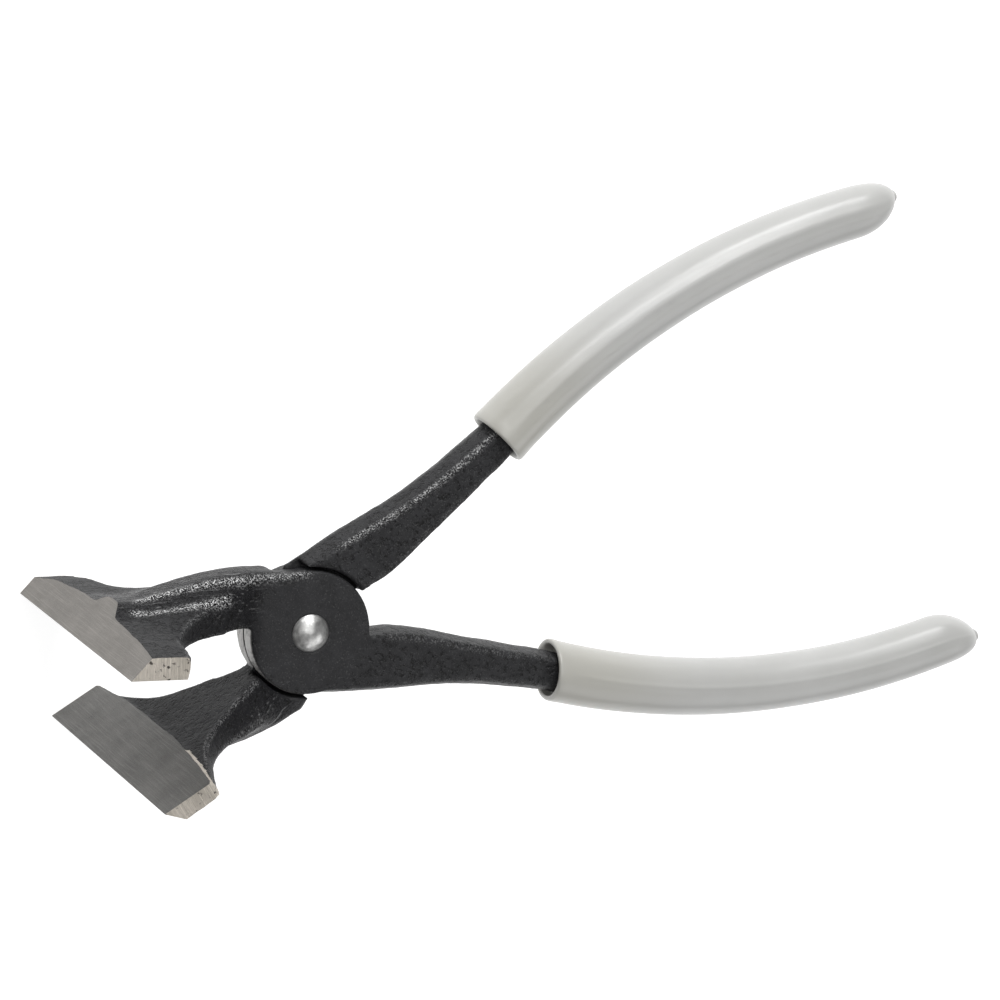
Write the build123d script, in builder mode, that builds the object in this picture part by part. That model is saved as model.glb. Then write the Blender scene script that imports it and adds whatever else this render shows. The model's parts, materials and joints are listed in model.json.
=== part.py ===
from build123d import *
import math
import os

# Wide-jaw carton staple remover: two alike forged levers, one turned over, in a lap joint.
# Millimetres. X runs along the tool (jaws at -X, handles at +X), Z is the pin's axis.
# Each lever is drawn closed, about its own pivot: jaw face on y = 0, jaw at -X, handle at +X.

open_angle = 33.0          # between the two jaw faces in this pose
pivot_x = -51.23           # puts the origin in the middle of the open tool's footprint

# lap joint
lap_radius = 13.1
lap_thickness = 4.8        # of one lever
lap_gap = 0.1              # between the two lap faces
shoulder_gap = 0.8         # between a lap disc and the other lever's shoulder
rim_radius = 0.5
pin_diameter = 6.35
pin_clearance = 0.05       # radial, in the front lever
pin_head_diameter = 8.0
pin_head_height = 1.6
seat_diameter = 8.8
seat_depth = 0.25

# jaw blade
jaw_width = 78.6           # along the pin's axis
tip_x = -49.4
jaw_relief = 0.05          # each jaw face stops this short of the closing plane
bevel_angle = 48.3
bevel_run = 12.0
# the blade's outer surface: z, then its thickness there
crown = ((-39.3, 3.25), (-31.0, 4.85), (-20.0, 5.8), (0.0, 6.2), (20.0, 5.6), (30.0, 5.2), (39.3, 4.4))
heel_end_x = (-37.9, -37.0)  # at its -Z end, at its +Z end
heel_middle_x = -35.4
heel_radius = 1.1            # along the jaw face
heel_corner = 1.4            # cut off at its two ends

# neck, from the lap joint (first value) out to the blade (second value)
neck_x = (-13.0, -38.0)
neck_end_x = 0.0
neck_taper = 15.0          # widening of each side that is even along the neck
neck_flare = 6.4           # how suddenly the rest of it comes at the blade
neck_bulge = 0.9           # how far its top bows out, half way
rib_end_x = -45.0          # the rib runs on over the blade and is cut off by the bevel
rib_top = (12.75, 8.1)
rib_base = (11.4, 6.2)
rib_top_width = (6.6, 7.0)
rib_base_width = (9.2, 14.0)
rib_offset = (0.0, 2.9)
wing_top = (9.6, 3.9)
wing_bottom = (1.5, 0.9)

# tang: x, then how far out its outer and inner edges lie, before the handle's arc starts
tang_stations = (
    (13.5, 13.85, 0.55), (22.0, 13.55, 0.7), (30.0, 13.15, 2.1), (39.0, 13.4, 4.0), (47.0, 14.3, 5.3),
)
tang_start_x = 3.0
shoulder_x = (-7.2, 6.6)   # beside the other lever's disc the neck and the tang stop here
tang_thickness = 9.5
tang_draft = 1.7           # how far the outer flank leans in
tang_inner_draft = 0.6

# handle arc, and the grip on it
collar = (55.6, -11.1)
handle_tip = (158.2, -4.8)
handle_sag = 8.0           # the arc's bow away from the line between those two
tang_end = 0.93            # fraction of the arc the tang reaches
tang_width = 8.6           # at the collar and on inside the grip
front_grip_width = (12.9, 11.3)
rear_grip_width = (13.2, 11.0)
grip_depth = (14.2, 11.6)
grip_shift = (0.35, 0.3)   # how far inward of the tang's arc it sits
tip_radius = 4.7
lip_radius = 0.7
front_mouth_tilt = 11.0    # the sleeves are not pushed on quite alike
rear_mouth_tilt = 1.0
mouth_depth = 2.6
mouth_width = 11.0
mouth_thickness = 11.6

os.makedirs("parts", exist_ok=True)

chord_x = handle_tip[0] - collar[0]
chord_y = handle_tip[1] - collar[1]
bow = handle_sag / math.hypot(chord_x, chord_y)
arc_middle = (
    (collar[0] + handle_tip[0]) / 2 + bow * chord_y,
    (collar[1] + handle_tip[1]) / 2 - bow * chord_x,
)
handle_arc = ThreePointArc(collar, arc_middle, handle_tip)
half_jaw = jaw_width / 2
bevel_rise = bevel_run * math.tan(math.radians(bevel_angle))


def between(pair, t):
    return pair[0] + (pair[1] - pair[0]) * t


def arc_plane(t):
    """Square to the handle's arc at a fraction of its length; local x is Z, local y is outward."""
    return Plane(origin=handle_arc @ t, x_dir=(0, 0, 1), z_dir=handle_arc % t)


def jaw_plane(x):
    """Square to X and facing the jaws; local x is Z, local y is Y."""
    return Plane(origin=(x, 0, 0), x_dir=(0, 0, 1), z_dir=(-1, 0, 0))


def handle_plane(x):
    """Square to X and facing the handles; local x is Z, local y is outward."""
    return Plane(origin=(x, 0, 0), x_dir=(0, 0, 1), z_dir=(1, 0, 0))


def neck_section(t):
    """The neck's outline at a fraction of its length: a rib on a wing that widens to the blade."""
    bulge = 4 * neck_bulge * t * (1 - t)
    top = between(rib_top, t) + bulge
    base = between(rib_base, t) + bulge
    middle = between(rib_offset, t)
    half_top = between(rib_top_width, t) / 2
    half_base = between(rib_base_width, t) / 2
    flare = half_jaw - 0.4 - lap_thickness - neck_taper
    wing = lap_thickness + neck_taper * t + flare * t**neck_flare
    reach = max(wing, middle + half_base + 0.4)
    high = between(wing_top, t)
    low = between(wing_bottom, t)
    return [
        (middle + half_top, top), (middle + half_base, base), (reach, high), (reach, low),
        (-reach, low), (-reach, high), (middle - half_base, base), (middle - half_top, top),
    ]


def tang_section(outer, inner, thickness):
    """Six-sided forged section; local x is Z, local y is outward."""
    half = thickness / 2
    flank = outer - tang_draft
    inner_flank = inner + tang_inner_draft
    return [
        (0, outer), (half, flank), (half, inner_flank),
        (0, inner), (-half, inner_flank), (-half, flank),
    ]


def make_lever(bore_radius, seat):
    """One forged lever: blade, neck, lap disc and tang, closed and about its own pivot."""
    with BuildPart() as blade:
        with BuildSketch(Plane.XY.offset(-half_jaw)):
            Polygon((tip_x, jaw_relief), (heel_middle_x, jaw_relief), (heel_middle_x, bevel_rise),
                    (tip_x + bevel_run, bevel_rise), align=None)
        extrude(amount=jaw_width)
        # crowned outer surface
        with BuildSketch(jaw_plane(heel_middle_x)):
            with BuildLine():
                Spline(*crown)
                Polyline(crown[-1], (half_jaw, 0), (-half_jaw, 0), crown[0])
            make_face()
        extrude(amount=20, mode=Mode.INTERSECT)
        # bowed heel
        low_x, high_x = heel_end_x
        with BuildSketch(Plane.XZ):
            with BuildLine():
                ThreePointArc((low_x, -half_jaw), (heel_middle_x, 0), (high_x, half_jaw))
                Polyline((high_x, half_jaw), (tip_x - 1, half_jaw), (tip_x - 1, -half_jaw),
                         (low_x, -half_jaw))
            make_face()
        extrude(amount=-20, mode=Mode.INTERSECT)
        long_edges = blade.edges().filter_by(lambda edge: edge.length > half_jaw)
        heel_edges = long_edges.filter_by(lambda edge: edge.center().X > low_x)
        fillet(heel_edges.sort_by(Axis.Y)[0], heel_radius)
        # its two ends cut off at a slant
        with BuildSketch(Plane.XZ):
            for x, z in ((low_x, -half_jaw), (high_x, half_jaw)):
                inward = math.copysign(heel_corner, z)
                Polygon((x - heel_corner, z), (x + heel_corner, z), (x + heel_corner, z - 2 * inward),
                        align=None)
        extrude(amount=-20, mode=Mode.SUBTRACT)

    with BuildPart() as neck:
        for t in (0, 0.2, 0.4, 0.6, 0.75, 0.85, 0.93, 1):
            with BuildSketch(jaw_plane(between(neck_x, t))):
                Polygon(*neck_section(t), align=None)
        loft()
        # straight block beside the lap disc
        with BuildSketch(jaw_plane(neck_end_x)):
            Polygon(*neck_section(0), align=None)
        extrude(amount=neck_end_x - neck_x[0])
        # the rib's end on the blade
        rib = neck_section(1)
        with BuildSketch(jaw_plane(neck_x[1])):
            Polygon(rib[0], rib[1], (rib[1][0], 1), (rib[6][0], 1), rib[6], rib[7], align=None)
        extrude(amount=neck_x[1] - rib_end_x)
        # ground flush with the bevel
        with BuildSketch(Plane.XY.offset(-half_jaw)):
            Polygon((tip_x, jaw_relief), (tip_x + bevel_run, bevel_rise), (tip_x, bevel_rise), align=None)
        extrude(amount=jaw_width, mode=Mode.SUBTRACT)

    with BuildPart() as tang:
        for x, outer, inner in tang_stations:
            with BuildSketch(handle_plane(x)):
                Polygon(*tang_section(outer, inner, tang_thickness), align=None)
        half_width = tang_width / 2
        collar_section = tang_section(half_width, -half_width, tang_width)
        with BuildSketch(arc_plane(0)):
            Polygon(*collar_section, align=None)
        loft()
        # core inside the grip
        with BuildLine():
            ThreePointArc(handle_arc @ 0, handle_arc @ (tang_end / 2), handle_arc @ tang_end)
        with BuildSketch(arc_plane(0)):
            Polygon(*collar_section, align=None)
        sweep()
        # straight block beside the lap disc
        first_x, first_outer, first_inner = tang_stations[0]
        with BuildSketch(handle_plane(tang_start_x)):
            Polygon(*tang_section(first_outer, first_inner, tang_thickness), align=None)
        extrude(amount=first_x - tang_start_x)

    with BuildPart() as disc:
        with BuildSketch(Plane.XY.offset(lap_gap / 2)):
            Circle(lap_radius)
        extrude(amount=lap_thickness - lap_gap / 2)
        fillet(disc.edges().filter_by(GeomType.CIRCLE).sort_by(Axis.Z)[-1], rim_radius)

    with BuildPart() as lever:
        add(neck.part)
        add(tang.part)
        # room for the other lever's lap disc
        with BuildSketch(Plane.XY.offset(lap_gap / 2)):
            Circle(lap_radius + shoulder_gap)
            with Locations((sum(shoulder_x) / 2, 0)):
                Rectangle(shoulder_x[1] - shoulder_x[0], 4 * lap_radius)
        extrude(amount=-2 * lap_thickness, mode=Mode.SUBTRACT)
        add(disc.part)
        add(blade.part)
        # rivet seat and bore
        with BuildSketch(Plane.XY.offset(lap_thickness - seat)):
            Circle(seat_diameter / 2)
        extrude(amount=lap_thickness, mode=Mode.SUBTRACT)
        with BuildSketch():
            Circle(bore_radius)
        extrude(amount=2 * lap_thickness, mode=Mode.SUBTRACT)
    return lever.part


def make_grip(lever_part, grip_width, mouth_tilt):
    """A dipped vinyl grip, open at the collar and closed at the tip, around its lever's tang."""
    mouth_plane = arc_plane(0).rotated((mouth_tilt, 0, 0))
    with BuildPart() as grip:
        with BuildSketch(mouth_plane):
            with Locations((0, -grip_shift[0])):
                Ellipse(grip_depth[0] / 2, grip_width[0] / 2)
        for t in (0.2, 0.4, 0.6, 0.8, 0.995):
            with BuildSketch(arc_plane(t)):
                with Locations((0, -between(grip_shift, t))):
                    Ellipse(between(grip_depth, t) / 2, between(grip_width, t) / 2)
        loft()
        fillet(grip.edges().sort_by(Axis.X)[-1], tip_radius)
        fillet(grip.edges().sort_by(Axis.X)[0], lip_radius)
        with BuildSketch(mouth_plane):
            with Locations((0, -grip_shift[0])):
                Ellipse(mouth_thickness / 2, mouth_width / 2)
        extrude(amount=mouth_depth, mode=Mode.SUBTRACT)
        add(lever_part, mode=Mode.SUBTRACT)
    return grip.part


# the front lever turns on the rivet, the rear one is pressed onto it
front = make_lever(pin_diameter / 2 + pin_clearance, seat_depth + pin_clearance)
rear = make_lever(pin_diameter / 2, seat_depth)
front_place = Location((pivot_x, 0, half_jaw), (0, 0, -open_angle / 2))
rear_place = Location((pivot_x, 0, half_jaw), (180, 0, -open_angle / 2))

with BuildPart() as front_lever:
    with Locations(front_place):
        add(front)

with BuildPart() as rear_lever:
    with Locations(rear_place):
        add(rear)

with BuildPart() as front_grip:
    with Locations(front_place):
        add(make_grip(front, front_grip_width, front_mouth_tilt))

with BuildPart() as rear_grip:
    with Locations(rear_place):
        add(make_grip(rear, rear_grip_width, rear_mouth_tilt))

# a plain shank with a domed head at both ends
with BuildPart() as pivot_rivet:
    with BuildSketch(Plane(origin=(pivot_x, 0, half_jaw), x_dir=(1, 0, 0), z_dir=(0, -1, 0))):
        with BuildLine():
            shank = pin_diameter / 2
            head = pin_head_diameter / 2
            under = lap_thickness - seat_depth
            top = lap_thickness + pin_head_height
            dome = ((top - under) ** 2 + head**2) / (2 * (top - under))
            half_turn = math.asin(head / dome) / 2
            flank = (dome * math.sin(half_turn), top - dome * (1 - math.cos(half_turn)))
            Polyline((0, top), (0, -top))
            ThreePointArc((0, -top), (flank[0], -flank[1]), (head, -under))
            Polyline((head, -under), (shank, -under), (shank, under), (head, under))
            ThreePointArc((head, under), flank, (0, top))
        make_face()
    revolve(axis=Axis((pivot_x, 0, half_jaw), (0, 0, 1)))

nodes = {
    "front_lever": front_lever,
    "rear_lever": rear_lever,
    "pivot_rivet": pivot_rivet,
    "front_grip": front_grip,
    "rear_grip": rear_grip,
}
for name, node in nodes.items():
    node.part.label = name
    export_step(node.part, f"parts/{name}.step")
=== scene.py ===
import json
import math

import bmesh
import bpy
import numpy
from mathutils import Euler, Matrix, Vector, noise


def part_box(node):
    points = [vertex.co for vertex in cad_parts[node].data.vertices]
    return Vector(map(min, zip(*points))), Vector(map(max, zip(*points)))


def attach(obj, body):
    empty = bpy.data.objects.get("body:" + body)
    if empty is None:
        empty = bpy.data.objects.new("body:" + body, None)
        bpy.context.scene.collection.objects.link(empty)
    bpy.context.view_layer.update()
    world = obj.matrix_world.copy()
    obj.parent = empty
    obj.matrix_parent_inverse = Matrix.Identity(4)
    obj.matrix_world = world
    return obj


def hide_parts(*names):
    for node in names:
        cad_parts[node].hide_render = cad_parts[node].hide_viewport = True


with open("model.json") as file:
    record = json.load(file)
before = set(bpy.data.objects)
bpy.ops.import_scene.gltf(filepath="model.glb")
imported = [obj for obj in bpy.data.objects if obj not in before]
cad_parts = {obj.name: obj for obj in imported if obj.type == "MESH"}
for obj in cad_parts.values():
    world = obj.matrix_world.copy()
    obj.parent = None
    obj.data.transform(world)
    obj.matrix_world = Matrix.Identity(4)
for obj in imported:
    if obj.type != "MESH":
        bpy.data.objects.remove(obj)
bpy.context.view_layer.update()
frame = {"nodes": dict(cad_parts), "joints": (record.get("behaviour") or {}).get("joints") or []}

# Lengths in this script are millimetres in a lever's own frame (closed, about the pivot, as in
# the CAD: jaw at -X, handle at +X, the rivet along Z) until MM turns them into the row's metres.
MM = 0.001

hinge = frame["joints"][0]
pivot = Vector(hinge["pos_m"])
half_open = math.radians(hinge["range_deg"][1]) / 2
half_jaw = (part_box("front_lever")[1].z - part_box("front_lever")[0].z) / 2 / MM

AT_PIVOT = Matrix.Translation(pivot)
OPENED = Matrix.Rotation(-half_open, 4, "Z")
TURNED_OVER = Matrix.Rotation(math.pi, 4, "X")
TO_METRES = Matrix.Scale(MM, 4)
PLACE = {
    "front": AT_PIVOT @ OPENED @ TO_METRES,
    "rear": AT_PIVOT @ TURNED_OVER @ OPENED @ TO_METRES,
}

# the levers' driving sizes
TIP_X = -49.4
JAW_RELIEF = 0.05
BEVEL_ANGLE = math.radians(48.3)
LAP_RADIUS = 13.1
LAP_THICKNESS = 4.8
SHOULDER_RADIUS = 13.9     # of the room beside the other lever's lap disc
HEEL_X = (-39.7, -34.5)    # the blade's heel lies between these
NECK_X = (-46.0, -10.0)    # the neck and its rib lie between these
BLADE_ROOT_X = -30.0       # the grinding stays on the jaw's side of this

# the forging's surface
VOXEL = 0.34
OVERSIZE = 1.6             # how far the rough forging stands past its ground faces
NEAR_FACE = 0.03           # a CAD vertex this close to a ground face belongs to it
CREST_HEIGHT = 0.16
CREST_WIDTH = 0.95
WAVES = ((0.13, 0.16), (0.42, 0.07), (1.15, 0.035))    # of the skin: waves per mm, height in mm
LEVER_SEED = {"front": Vector((0, 0, 0)), "rear": Vector((37, 11, 53))}

# the rivet
SHANK_RADIUS = 3.175
SEAT_DEPTH = 0.25
RIVET_AROUND = 96

# the handles' arc and the grips
COLLAR = Vector((55.6, -11.1, 0))
HANDLE_TIP = Vector((158.2, -4.8, 0))
HANDLE_SAG = 8.0
GRIP_WIDTH = {"front": (12.9, 11.3), "rear": (13.2, 11.0)}
GRIP_DEPTH = (14.2, 11.6)
GRIP_SHIFT = (0.35, 0.3)    # how far inward of the handle's arc the grip sits
MOUTH_TILT = {"front": math.radians(11.0), "rear": math.radians(1.0)}
MOUTH_DEPTH = 2.6
GRIP_AROUND = 120
GRIP_SEED = {"front": Vector((5, 9, 2)), "rear": Vector((41, 17, 29))}


def clamp(value, low=0.0, high=1.0):
    return max(low, min(high, value))


def smooth_step(low, high, value):
    """0 at low, 1 at high, easing between; low may be the greater."""
    t = clamp((value - low) / (high - low))
    return t * t * (3 - 2 * t)


def lerp(pair, t):
    return pair[0] + (pair[1] - pair[0]) * t


def add_object(name, mesh, materials):
    piece = bpy.data.objects.new(name, mesh)
    bpy.context.scene.collection.objects.link(piece)
    for material in materials:
        mesh.materials.append(material)
    return piece


# ---------------------------------------------------------------- materials

class Nodes:
    """A material and short ways to add nodes to it."""

    def __init__(self, name):
        self.material = bpy.data.materials.new(name)
        self.material.use_nodes = True
        self.tree = self.material.node_tree
        self.shader = self.tree.nodes["Principled BSDF"]
        self.rest = self.attribute("rest").outputs["Vector"]

    def add(self, kind, **settings):
        node = self.tree.nodes.new(kind)
        for key, value in settings.items():
            setattr(node, key, value)
        return node

    def link(self, source, target):
        self.tree.links.new(source, target)

    def attribute(self, name):
        return self.add("ShaderNodeAttribute", attribute_name=name)

    def set(self, **values):
        for key, value in values.items():
            self.shader.inputs[key.replace("_", " ")].default_value = value

    def stretched(self, scale):
        """The rest position, in mm, scaled on each axis."""
        mapping = self.add("ShaderNodeMapping")
        mapping.inputs["Scale"].default_value = scale
        self.link(self.rest, mapping.inputs["Vector"])
        return mapping.outputs["Vector"]

    def noise(self, scale, detail=3.0, rough=0.5, vector=None):
        """Noise whose blotches are about 1/scale mm across."""
        node = self.add("ShaderNodeTexNoise")
        node.inputs["Scale"].default_value = scale
        node.inputs["Detail"].default_value = detail
        node.inputs["Roughness"].default_value = rough
        self.link(vector or self.rest, node.inputs["Vector"])
        return node.outputs["Fac"]

    def ramp(self, value, low, high, to_low=0.0, to_high=1.0):
        node = self.add("ShaderNodeMapRange", clamp=True)
        for key, number in (("From Min", low), ("From Max", high), ("To Min", to_low), ("To Max", to_high)):
            node.inputs[key].default_value = number
        self.link(value, node.inputs["Value"])
        return node.outputs["Result"]

    def math(self, operation, a, b):
        node = self.add("ShaderNodeMath", operation=operation)
        for socket, value in zip(node.inputs, (a, b)):
            if isinstance(value, (int, float)):
                socket.default_value = value
            else:
                self.link(value, socket)
        return node.outputs["Value"]

    def mix(self, factor, a, b):
        """Colour a where factor is 0, b where it is 1."""
        node = self.add("ShaderNodeMix", data_type="RGBA")
        self.link(factor, node.inputs["Factor"])
        for socket, value in ((node.inputs[6], a), (node.inputs[7], b)):
            if isinstance(value, tuple):
                socket.default_value = (*value, 1)
            else:
                self.link(value, socket)
        return node.outputs[2]

    def bump(self, height, depth, below=None):
        """Bumps of a depth in mm."""
        node = self.add("ShaderNodeBump")
        node.inputs["Strength"].default_value = 1.0
        node.inputs["Distance"].default_value = depth * MM
        self.link(height, node.inputs["Height"])
        if below:
            self.link(below, node.inputs["Normal"])
        return node.outputs["Normal"]


def forged_material():
    """Black coating over a rough forged skin, with painted highlights and a little wear on its ridges, and
    bare where the lap was turned.
    """
    n = Nodes("forged_black")
    rough_skin = n.attribute("rough_skin").outputs["Fac"]
    ridge = n.attribute("ridge").outputs["Fac"]
    bare = n.attribute("bare").outputs["Fac"]
    neck = n.attribute("neck").outputs["Fac"]
    jaw = n.attribute("jaw").outputs["Fac"]
    blotch = n.noise(0.30, 4, 0.6)
    pits = n.noise(0.9, 3, 0.6)
    grain = n.noise(3.2, 2, 0.6)
    drawn = n.noise(1.0, 3, 0.6, n.stretched((0.10, 1.5, 1.5)))
    colour = n.mix(n.ramp(blotch, 0.3, 0.75), (0.013, 0.013, 0.014), (0.023, 0.023, 0.025))
    colour = n.mix(n.math("MULTIPLY", jaw, 0.6), colour, (0.005, 0.005, 0.006))
    colour = n.mix(n.math("MULTIPLY", n.ramp(pits, 0.42, 0.34), rough_skin), colour, (0.004, 0.004, 0.004))
    colour = n.mix(n.math("MULTIPLY", n.ramp(grain, 0.60, 0.70), 0.5), colour, (0.09, 0.09, 0.09))
    # The ridge specks below are painted highlights on the neck's crests and the rear tang's outer edge, with
    # a little wear on the other edges; the neck's streaks are drawn lines.
    dots = n.math("MULTIPLY", n.ramp(grain, 0.50, 0.60), ridge)
    streaks = n.math("MULTIPLY", n.ramp(drawn, 0.60, 0.72), n.math("MULTIPLY", neck, 0.22))
    glints_and_wear = n.math("MAXIMUM", dots, streaks)
    colour = n.mix(n.math("MULTIPLY", glints_and_wear, 0.85), colour, n.mix(jaw, (0.55, 0.55, 0.55), (0.9, 0.9, 0.9)))
    colour = n.mix(bare, colour, (0.40, 0.395, 0.385))
    n.link(colour, n.shader.inputs["Base Color"])
    n.link(n.math("MAXIMUM", n.math("MULTIPLY", glints_and_wear, 0.9), bare), n.shader.inputs["Metallic"])
    gloss = n.math("MAXIMUM", ridge, neck)
    roughness = n.math("SUBTRACT", n.ramp(grain, 0.3, 0.7, 0.42, 0.54), n.math("MULTIPLY", gloss, 0.18))
    n.link(roughness, n.shader.inputs["Roughness"])
    sunk = n.ramp(pits, 0.36, 0.50)
    skin = n.bump(n.math("MULTIPLY", sunk, rough_skin), 0.28)
    skin = n.bump(n.math("MULTIPLY", drawn, neck), 0.45, skin)
    skin = n.bump(n.math("MULTIPLY", grain, n.math("ADD", n.math("MULTIPLY", gloss, 0.7), 0.3)), 0.22, skin)
    n.link(skin, n.shader.inputs["Normal"])
    n.link(n.ramp(jaw, 0, 1, 0.28, 0.12), n.shader.inputs["Specular IOR Level"])
    return n.material


def ground_material(name, dark, light, lines_along, pitted=False):
    """Bare ground steel; the grinding lines run along one axis of the lever."""
    n = Nodes(name)
    coarse = [4.5] * 3
    coarse[lines_along] = 0.09
    fine = [13.0] * 3
    fine[lines_along] = 0.35
    long_lines = n.noise(1.0, 4, 0.65, n.stretched(coarse))
    fine_lines = n.noise(1.0, 3, 0.7, n.stretched(fine))
    cloud = n.noise(0.16, 4, 0.55)
    colour = n.mix(n.ramp(cloud, 0.3, 0.7), dark, light)
    streak = tuple(min(1.0, channel * 1.45) for channel in light)
    colour = n.mix(n.ramp(long_lines, 0.50, 0.78), colour, streak)
    scratch = tuple(channel * 0.45 for channel in dark)
    colour = n.mix(n.ramp(fine_lines, 0.50, 0.28, 0.0, 0.35), colour, scratch)
    if pitted:
        colour = n.mix(n.ramp(n.noise(0.9, 3, 0.6), 0.40, 0.34), colour, (0.12, 0.11, 0.10))
    n.link(colour, n.shader.inputs["Base Color"])
    n.link(n.ramp(fine_lines, 0.3, 0.7, 0.40, 0.58), n.shader.inputs["Roughness"])
    lines = n.bump(long_lines, 0.22 if pitted else 0.05)
    n.link(n.bump(fine_lines, 0.03, lines), n.shader.inputs["Normal"])
    n.set(Metallic=1.0)
    return n.material


def vinyl_material():
    n = Nodes("grip_vinyl")
    near_mouth = n.attribute("near_mouth").outputs["Fac"]
    cloud = n.noise(0.07, 3, 0.5)
    colour = n.mix(n.ramp(cloud, 0.3, 0.7), (0.385, 0.385, 0.373), (0.42, 0.42, 0.41))
    colour = n.mix(n.math("MULTIPLY", near_mouth, 0.7), colour, (0.365, 0.355, 0.315))
    n.link(colour, n.shader.inputs["Base Color"])
    n.link(n.ramp(n.noise(0.5, 3, 0.5), 0.3, 0.7, 0.34, 0.42), n.shader.inputs["Roughness"])
    soft = n.bump(n.noise(1.0, 2, 0.5, n.stretched((0.05, 0.16, 0.16))), 0.30)
    n.link(n.bump(n.noise(1.6, 3, 0.6), 0.010, soft), n.shader.inputs["Normal"])
    n.set(Coat_Weight=0.5, Coat_Roughness=0.28)
    return n.material


def rivet_material():
    n = Nodes("rivet_steel")
    spots = n.noise(0.9, 4, 0.6)
    colour = n.mix(n.ramp(spots, 0.35, 0.65), (0.36, 0.36, 0.355), (0.58, 0.58, 0.57))
    n.link(colour, n.shader.inputs["Base Color"])
    n.link(n.ramp(n.noise(2.4, 3, 0.6), 0.3, 0.7, 0.32, 0.44), n.shader.inputs["Roughness"])
    n.link(n.bump(spots, 0.05), n.shader.inputs["Normal"])
    n.set(Metallic=1.0)
    return n.material


MATERIALS = {
    "forged": forged_material(),
    "bevel": ground_material("ground_bevel", (0.17, 0.16, 0.147), (0.21, 0.198, 0.183), 2),
    "face": ground_material("ground_face", (0.115, 0.113, 0.107), (0.165, 0.161, 0.153), 2),
    "end": ground_material("ground_end", (0.52, 0.48, 0.42), (0.66, 0.61, 0.545), 1, pitted=True),
    "vinyl": vinyl_material(), "rivet": rivet_material(),
}


# ---------------------------------------------------------------- levers

BEVEL_NORMAL = Vector((-math.sin(BEVEL_ANGLE), math.cos(BEVEL_ANGLE), 0))
TIP = Vector((TIP_X, JAW_RELIEF, 0))
LEVER_MATERIALS = ("forged", "bevel", "face", "end")
BEVEL, FACE, END = 1, 2, 3     # places in LEVER_MATERIALS
# crests along the neck, which stand a little proud and carry a painted highlight
NECK_CRESTS = [[Vector(point) for point in crest] for crest in (
    ((-38, 8.3, 6), (-21, 11, 5.5), (-8, 12.3, 4.5), (0, 12.8, 4.5)),
    ((-39.5, 6.5, 9.5), (-34, 7, 11.5), (-25.5, 7.7, 10.5), (-19.5, 8.2, 8.5)),
)]


def radius_of(point):
    """Distance from the rivet's axis."""
    return math.hypot(point.x, point.y)


# how many times each part of the forging is smoothed
ROUNDING = (
    (3, lambda p: True),
    (8, lambda p: radius_of(p) > LAP_RADIUS + 2.5),
    # the neck
    (18, lambda p: NECK_X[0] < p.x < NECK_X[1] and p.y > 1.5 and abs(p.z) < half_jaw - 8),
    # the tang
    (16, lambda p: p.x > 16),
    # the rib's end on the blade
    (20, lambda p: p.x < -36 and p.y > 7.2 and abs(p.z) < 14),
    # the neck's shoulder
    (24, lambda p: SHOULDER_RADIUS + 0.3 < radius_of(p) < 20 and p.x < -4),
)


def rough_forging(node, place):
    """The CAD lever as a mesh in its own frame, standing proud of every face that gets ground."""
    shape = bmesh.new()
    shape.from_mesh(frame["nodes"][node].data)
    shape.transform(place.inverted())
    bmesh.ops.remove_doubles(shape, verts=shape.verts, dist=0.001)
    for vertex in shape.verts:
        x, y, z = vertex.co
        if x > HEEL_X[1] + 0.6:
            continue
        if abs((vertex.co - TIP).dot(BEVEL_NORMAL)) < NEAR_FACE:
            vertex.co.x -= OVERSIZE * 1.3
        if y < JAW_RELIEF + NEAR_FACE:
            vertex.co.y -= OVERSIZE
        if abs(z) > half_jaw - NEAR_FACE:
            vertex.co.z += math.copysign(OVERSIZE, z)
    mesh = bpy.data.meshes.new(node + "_rough")
    shape.to_mesh(mesh)
    shape.free()
    piece = bpy.data.objects.new(node + "_rough", mesh)
    bpy.context.scene.collection.objects.link(piece)
    remesh = piece.modifiers.new("remesh", "REMESH")
    remesh.mode = "VOXEL"
    remesh.voxel_size = VOXEL
    graph = bpy.context.evaluated_depsgraph_get()
    result = bpy.data.meshes.new_from_object(piece.evaluated_get(graph))
    bpy.data.objects.remove(piece)
    return result


def soften(shape, passes, chosen):
    """Rounds the edges of the part of a lever that chosen(point) picks."""
    verts = [v for v in shape.verts if chosen(v.co)]
    every_axis = {"use_axis_x": True, "use_axis_y": True, "use_axis_z": True}
    for _ in range(passes):
        bmesh.ops.smooth_vert(shape, verts=verts, factor=0.5, **every_axis)


def skin_factor(point):
    """1 on the as-forged skin, less on the lap disc's outer face, 0 beside the other lever's disc."""
    radius = radius_of(point)
    if point.z > 0.5:
        return 0.25 + 0.75 * smooth_step(LAP_RADIUS - 3.5, LAP_RADIUS + 3.5, radius)
    return smooth_step(SHOULDER_RADIUS + 0.1, SHOULDER_RADIUS + 0.9, radius)


def bare_factor(point, normal):
    """1 on the turned edge of the lap disc that faces the jaws."""
    past_rim = radius_of(point) - LAP_RADIUS
    on_rim = smooth_step(-0.5, -0.3, past_rim) * (1 - smooth_step(0.1, 0.3, past_rim))
    outward = (normal.x * point.x + normal.y * point.y) / max(radius_of(point), 0.1)
    sector = smooth_step(0.0, 2.0, -point.x) * smooth_step(-4.0, -1.0, -point.y)
    below_top = 1 - smooth_step(LAP_THICKNESS - 0.5, LAP_THICKNESS - 0.2, point.z)
    return on_rim * smooth_step(0.75, 0.9, outward) * sector * below_top


def neck_factor(point):
    """1 on the outer side of the neck."""
    across = smooth_step(14, 9, abs(point.z - 2))
    return smooth_step(-9, -14, point.x) * smooth_step(4.0, 6.0, point.y) * across


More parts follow.
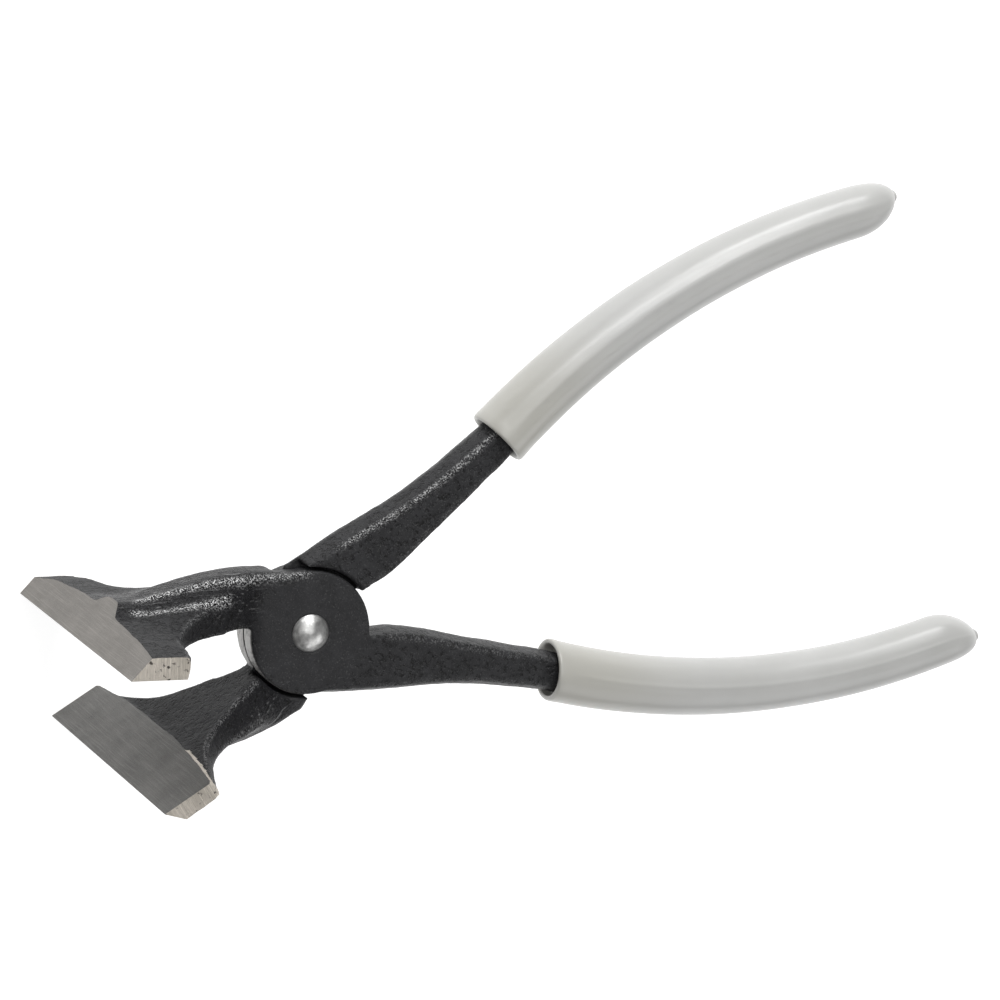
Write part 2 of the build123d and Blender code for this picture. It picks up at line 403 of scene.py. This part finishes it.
def glint_and_wear_factor(side, point, skin, height):
    """How bright a convex edge is painted: a painted highlight mostly on the rear tang's outer edge, and a
    little wear on the other edges.
    """
    on_tang = smooth_step(12, 18, point.x)
    outer_edge = smooth_step(-5, -8, point.y + 0.12 * point.x - 2)
    share = on_tang * (0.12 if side == "front" else 0.12 + 0.68 * outer_edge)
    share = max(share, 0.16 * smooth_step(-12, -16, point.x))
    return smooth_step(0.07, 0.19, height) * smooth_step(0.6, 1.0, skin) * share


def crest_factor(point):
    """1 on the neck's crests, falling to 0 a millimetre or two away and at the lap disc."""
    nearest = 9.0
    for crest in NECK_CRESTS:
        for start, end in zip(crest, crest[1:]):
            along = clamp((point - start).dot(end - start) / (end - start).length_squared)
            nearest = min(nearest, (point - start.lerp(end, along)).length)
    return math.exp(-((nearest / CREST_WIDTH) ** 2)) * smooth_step(1, -3, point.x)


def fullness(side, point, normal):
    """How far, in mm, the neck's back and the tang's inner edge stand out past the softened shape."""
    on_neck = smooth_step(-32, -22, point.x) * smooth_step(-6, -10, point.x)
    on_tang = smooth_step(14, 22, point.x) * smooth_step(50, 42, point.x)
    most = (0.8 if side == "rear" else 0.35) * on_neck + 0.4 * on_tang
    return most * smooth_step(0.2, 0.8, normal.y) * smooth_step(14, 16, radius_of(point))


def convexity(shape, passes):
    """How far each vertex stands above the average of its neighbourhood, in mm; more passes, wider."""
    edges = numpy.array([[v.index for v in e.verts] for e in shape.edges])
    start, end = numpy.concatenate((edges, edges[:, ::-1])).T
    positions = numpy.array([v.co for v in shape.verts])
    normals = numpy.array([v.normal for v in shape.verts])
    shares = numpy.bincount(start)[:, None]
    averaged = positions
    for _ in range(passes):
        averaged = numpy.stack([numpy.bincount(start, averaged[end, axis]) for axis in range(3)], 1) / shares
    return ((positions - averaged) * normals).sum(1)


def roughen(shape, side):
    """Gives each vertex its attributes for the material and moves it to the uneven forged skin."""
    shape.verts.ensure_lookup_table()
    shape.verts.index_update()
    shape.normal_update()
    heights = convexity(shape, 16)
    names = ("ridge", "rough_skin", "bare", "neck", "jaw")
    layers = {name: shape.verts.layers.float.new(name) for name in names}
    rest_layer = shape.verts.layers.float_vector.new("rest")
    seed = LEVER_SEED[side]
    for vertex, height in zip(shape.verts, heights):
        p = vertex.co
        skin = skin_factor(p)
        crest = crest_factor(p)
        # the ridge attribute: a painted highlight on the neck's crests and the rear tang's outer edge, and a
        # little wear on other edges
        vertex[layers["ridge"]] = max(glint_and_wear_factor(side, p, skin, height), crest)
        vertex[layers["rough_skin"]] = skin
        vertex[layers["bare"]] = bare_factor(p, vertex.normal)
        vertex[layers["neck"]] = neck_factor(p)
        vertex[layers["jaw"]] = smooth_step(-9, -14, p.x)
        vertex[rest_layer] = p + seed
        wave = sum(noise.noise((p + seed) * per_mm) * deep for per_mm, deep in WAVES)
        outward = vertex.normal * (skin * wave + CREST_HEIGHT * crest)
        vertex.co = p + outward + Vector((0, fullness(side, p, vertex.normal), 0))
    for face in shape.faces:
        face.smooth = True
    return rest_layer


def grind(shape, point, normal, material):
    """Cuts the blade flat at a plane and closes the cut with ground steel."""
    blade = [f for f in shape.faces if f.calc_center_median().x < BLADE_ROOT_X]
    geometry = list({*blade, *(v for f in blade for v in f.verts), *(e for f in blade for e in f.edges)})
    cut = bmesh.ops.bisect_plane(
        shape, geom=geometry, dist=0.0005, plane_co=point, plane_no=normal, clear_outer=True
    )["geom_cut"]
    edges = [e for e in cut if isinstance(e, bmesh.types.BMEdge) and e.is_boundary]
    faces = bmesh.ops.contextual_create(shape, geom=edges)["faces"]
    for face in faces:
        face.material_index = material
        face.smooth = False


def bare_heel(shape, side):
    """Bare steel on the heel's slanted ends, and along the rear blade's lower heel edge."""
    for face in shape.faces:
        middle = face.calc_center_median()
        if face.material_index or not HEEL_X[0] < middle.x < HEEL_X[1]:
            continue
        slanted_end = abs(middle.z) > half_jaw - 1.3 and middle.y < 3.6
        chamfer = side == "rear" and middle.z < -18 and middle.y < 0.75
        if slanted_end or chamfer:
            face.material_index = END


def make_lever(side, node, body):
    mesh = rough_forging(node, PLACE[side])
    shape = bmesh.new()
    shape.from_mesh(mesh)
    for passes, chosen in ROUNDING:
        soften(shape, passes, chosen)
    rest_layer = roughen(shape, side)
    grind(shape, TIP, BEVEL_NORMAL, BEVEL)
    grind(shape, TIP, Vector((0, -1, 0)), FACE)
    grind(shape, Vector((0, 0, half_jaw)), Vector((0, 0, 1)), END)
    grind(shape, Vector((0, 0, -half_jaw)), Vector((0, 0, -1)), END)
    bare_heel(shape, side)
    # the cuts moved or made these vertices, so their rest position is taken again
    for face in shape.faces:
        if face.material_index:
            for vertex in face.verts:
                vertex[rest_layer] = vertex.co + LEVER_SEED[side]
    shape.normal_update()
    shape.transform(PLACE[side])
    shape.to_mesh(mesh)
    shape.free()
    mesh.name = side + "_forging"
    piece = add_object(side + "_forging", mesh, [MATERIALS[name] for name in LEVER_MATERIALS])
    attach(piece, body)
    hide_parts(node)
    return piece


# ---------------------------------------------------------------- grips

chord = HANDLE_TIP - COLLAR
bow_side = Vector((chord.y, -chord.x, 0)).normalized()
half_chord = chord.length / 2
arc_radius = (half_chord**2 + HANDLE_SAG**2) / (2 * HANDLE_SAG)
arc_centre = (COLLAR + HANDLE_TIP) / 2 + bow_side * (HANDLE_SAG - arc_radius)
arc_start = COLLAR - arc_centre
arc_angle = 2 * math.asin(half_chord / arc_radius)
ARC_LENGTH = arc_radius * arc_angle


def on_arc(s):
    """Point, direction and outward side of the handle's centre line, s mm from the collar."""
    turned = Matrix.Rotation(s / arc_radius, 3, "Z") @ arc_start
    outward = turned.normalized()
    return arc_centre + turned, Vector((-outward.y, outward.x, 0)), outward


GRIP_LENGTH = ARC_LENGTH + 0.2
LIP_END = 4.5              # the swelling behind the lip has died away here
TIP_LENGTH = 10.5
TIP_LEAN = {"front": 2.2, "rear": 1.4}     # how far the closed end sags outward
# soft ridges round each grip's section: angle from the outer side, half width, height in mm
RIDGES = {
    "front": ((101, 4.5, 0.16), (-90, 9, 0.12)),
    "rear": ((75, 7, 0.11), (88, 6, -0.05), (100, 7, 0.06), (-90, 9, 0.12)),
}


def grip_profile():
    """(distance along the handle, share of the full radius) from the mouth's floor round to the tip."""
    inner = 0.80
    profile = [(MOUTH_DEPTH, 0.30), (MOUTH_DEPTH, 0.6), (MOUTH_DEPTH, inner - 0.06)]
    profile += [(MOUTH_DEPTH - 0.4, inner), (0.9, inner + 0.005)]
    # the rolled lip and the swelling behind it
    lip_middle, lip_half, lip_length = 0.917, 0.088, 0.62
    for step in range(9):
        turn = math.pi * step / 8
        profile.append((lip_length - lip_length * math.sin(turn), lip_middle - lip_half * math.cos(turn)))
    profile += [(1.4, 1.012), (2.2, 1.006), (3.2, 1.001), (LIP_END, 1.0)]
    steps = 84
    for step in range(1, steps + 1):
        profile.append((LIP_END + (GRIP_LENGTH - TIP_LENGTH - LIP_END) * step / steps, 1.0))
    # the rounded end and its nib
    for step in range(1, 21):
        u = math.sin(math.pi / 2 * step / 20)
        profile.append((GRIP_LENGTH - TIP_LENGTH * (1 - u), max((1 - u**2.3) ** 0.5, 0.24)))
    nib = ((0.2, 0.22), (0.4, 0.18), (0.55, 0.12), (0.6, 0.05))
    profile += [(GRIP_LENGTH + past, share) for past, share in nib]
    return profile


def ridge_height(side, turn):
    """Height of the soft ridges the dipped vinyl keeps from the tang's corners."""
    height = 0.0
    for angle, width, rise in RIDGES[side]:
        apart = (math.degrees(turn) - angle + 180) % 360 - 180
        height += rise * math.exp(-((apart / width) ** 2))
    return height


def grip_point(side, s, share, turn):
    """A point of the grip's surface: s mm from the mouth, at an angle round from the outer side."""
    t = clamp(s / ARC_LENGTH)
    centre, ahead, outward = on_arc(s)
    at_mouth = 1 - smooth_step(0, 14, s)
    at_tip = clamp((s - (GRIP_LENGTH - TIP_LENGTH)) / TIP_LENGTH)
    centre += outward * (TIP_LEAN[side] * at_tip**2 - lerp(GRIP_SHIFT, t))
    cos, sin = math.cos(turn), math.sin(turn)
    if side == "rear":
        # the rear lever is turned over, so its visible side is the other one
        sin = -sin
    lumps = 1 + 0.010 * noise.noise(Vector((s * 0.06, 2 * cos, 2 * sin)) + GRIP_SEED[side])
    swell = ridge_height(side, turn) * smooth_step(1.5, 10, s) * (1 - at_tip)
    width = lerp(GRIP_WIDTH[side], t) / 2 * share * lumps + swell
    depth = lerp(GRIP_DEPTH, t) / 2 * share * lumps + swell
    lean = width * cos * math.tan(MOUTH_TILT[side]) * at_mouth
    return centre + outward * width * cos + Vector((0, 0, depth * sin)) + ahead * lean


def make_grip(side, node, body):
    shape = bmesh.new()
    rest_layer = shape.verts.layers.float_vector.new("rest")
    mouth_layer = shape.verts.layers.float.new("near_mouth")
    rings = []
    for s, share in grip_profile():
        ring = []
        for step in range(GRIP_AROUND):
            point = grip_point(side, s, share, 2 * math.pi * step / GRIP_AROUND)
            vertex = shape.verts.new(point)
            vertex[rest_layer] = point + GRIP_SEED[side]
            vertex[mouth_layer] = smooth_step(38, 4, s)
            ring.append(vertex)
        rings.append(ring)
    for ring, following in zip(rings, rings[1:]):
        for i in range(GRIP_AROUND):
            j = (i + 1) % GRIP_AROUND
            shape.faces.new((ring[i], ring[j], following[j], following[i]))
    shape.faces.new(list(reversed(rings[0])))
    shape.faces.new(rings[-1])
    for face in shape.faces:
        face.smooth = True
    bmesh.ops.recalc_face_normals(shape, faces=shape.faces)
    shape.transform(PLACE[side])
    mesh = bpy.data.meshes.new(side + "_sleeve")
    shape.to_mesh(mesh)
    shape.free()
    piece = add_object(side + "_sleeve", mesh, [MATERIALS["vinyl"]])
    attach(piece, body)
    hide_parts(node)
    return piece


# ---------------------------------------------------------------- rivet

def make_rivet():
    low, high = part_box("pivot_rivet")
    head = (high.x - low.x) / 2 / MM
    top = (high.z - low.z) / 2 / MM
    under = LAP_THICKNESS - SEAT_DEPTH
    dome = ((top - under) ** 2 + head**2) / (2 * (top - under))
    limit = math.asin(head / dome)
    profile = []
    for step in range(1, 25):
        turn = limit * step / 24
        profile.append((dome * math.sin(turn), top - dome * (1 - math.cos(turn))))
    # the rim's rounded edge, the head's underside and the shank
    profile[-1] = (head - 0.05, profile[-1][1] + 0.06)
    profile += [(head, under + 0.02), (head - 0.05, under), (SHANK_RADIUS, under), (SHANK_RADIUS, 0.0)]
    shape = bmesh.new()
    rest_layer = shape.verts.layers.float_vector.new("rest")

    def ring(radius, height):
        made = []
        for step in range(RIVET_AROUND):
            turn = 2 * math.pi * step / RIVET_AROUND
            point = Vector((radius * math.cos(turn), radius * math.sin(turn), height))
            rise = 0
            if radius <= 0.9 * head and abs(height) >= under:
                # the dome is uneven and a little sunk
                rise = noise.noise(point * 0.75) * 0.05 + noise.noise(point * 1.9) * 0.012 - 0.05
            vertex = shape.verts.new(point + Vector((0, 0, math.copysign(1, height) * rise)))
            vertex[rest_layer] = point
            made.append(vertex)
        return made

    outline = profile + [(r, -h) for r, h in reversed(profile[:-1])]
    rings = [ring(r, h) for r, h in outline]
    for first, second in zip(rings, rings[1:]):
        for i in range(RIVET_AROUND):
            j = (i + 1) % RIVET_AROUND
            shape.faces.new((first[i], second[i], second[j], first[j]))
    for end in (rings[0], rings[-1]):
        centre = shape.verts.new((0, 0, sum(v.co.z for v in end) / RIVET_AROUND))
        centre[rest_layer] = centre.co
        for i in range(RIVET_AROUND):
            shape.faces.new((end[i], end[(i + 1) % RIVET_AROUND], centre))
    for face in shape.faces:
        face.smooth = True
    bmesh.ops.recalc_face_normals(shape, faces=shape.faces)
    shape.transform(AT_PIVOT @ TO_METRES)
    mesh = bpy.data.meshes.new("domed_rivet")
    shape.to_mesh(mesh)
    shape.free()
    piece = add_object("domed_rivet", mesh, [MATERIALS["rivet"]])
    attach(piece, "rear_half")
    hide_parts("pivot_rivet")
    return piece


make_lever("front", "front_lever", "front_half")
make_lever("rear", "rear_lever", "rear_half")
make_grip("front", "front_grip", "front_half")
make_grip("rear", "rear_grip", "rear_half")
make_rivet()

# ---------------------------------------------------------------- camera, light and floor

scene = bpy.context.scene
scene.view_settings.view_transform = "Standard"

camera_data = bpy.data.cameras.new("camera")
camera_data.lens = 145.3
camera_data.sensor_width = 36
camera = bpy.data.objects.new("camera", camera_data)
scene.collection.objects.link(camera)
camera.location = pivot + Vector((-0.21992, 0.25997, 0.76464))
camera.rotation_euler = Euler([math.radians(a) for a in (-12.348, -22.472, -12.835)], "XYZ")
scene.camera = camera


def soft_box(name, place, size, power):
    light = bpy.data.lights.new(name, "AREA")
    light.shape = "RECTANGLE"
    light.size, light.size_y = size
    light.energy = power
    lamp = bpy.data.objects.new(name, light)
    scene.collection.objects.link(lamp)
    lamp.location = pivot + Vector(place)
    lamp.rotation_euler = (-Vector(place)).to_track_quat("-Z", "Y").to_euler()


soft_box("overhead", (-0.15, 0.45, 1.8), (1.6, 1.1), 10)
soft_box("key", (0.28, 0.92, 0.80), (0.60, 0.30), 6.2)
soft_box("side", (0.52, 1.2, 0.44), (0.60, 0.30), 7.5)
soft_box("fill", (0.35, -0.95, 0.60), (1.4, 0.7), 4.8)

world = bpy.data.worlds.new("studio")
scene.world = world
world.use_nodes = True
background = world.node_tree.nodes["Background"]
background.inputs["Color"].default_value = (1, 1, 1, 1)
background.inputs["Strength"].default_value = 0.28

floor_mesh = bpy.data.meshes.new("floor")
reach = 3.0
corners = [(-reach, -reach, 0), (reach, -reach, 0), (reach, reach, 0), (-reach, reach, 0)]
floor_mesh.from_pydata(corners, [], [(0, 1, 2, 3)])
floor_nodes = Nodes("floor")
floor_nodes.set(Base_Color=(0.5, 0.5, 0.5, 1), Roughness=0.8)
floor_nodes.set(Emission_Color=(1, 1, 1, 1), Emission_Strength=0.8)
floor = add_object("floor", floor_mesh, [floor_nodes.material])
floor.location.z = -0.0002
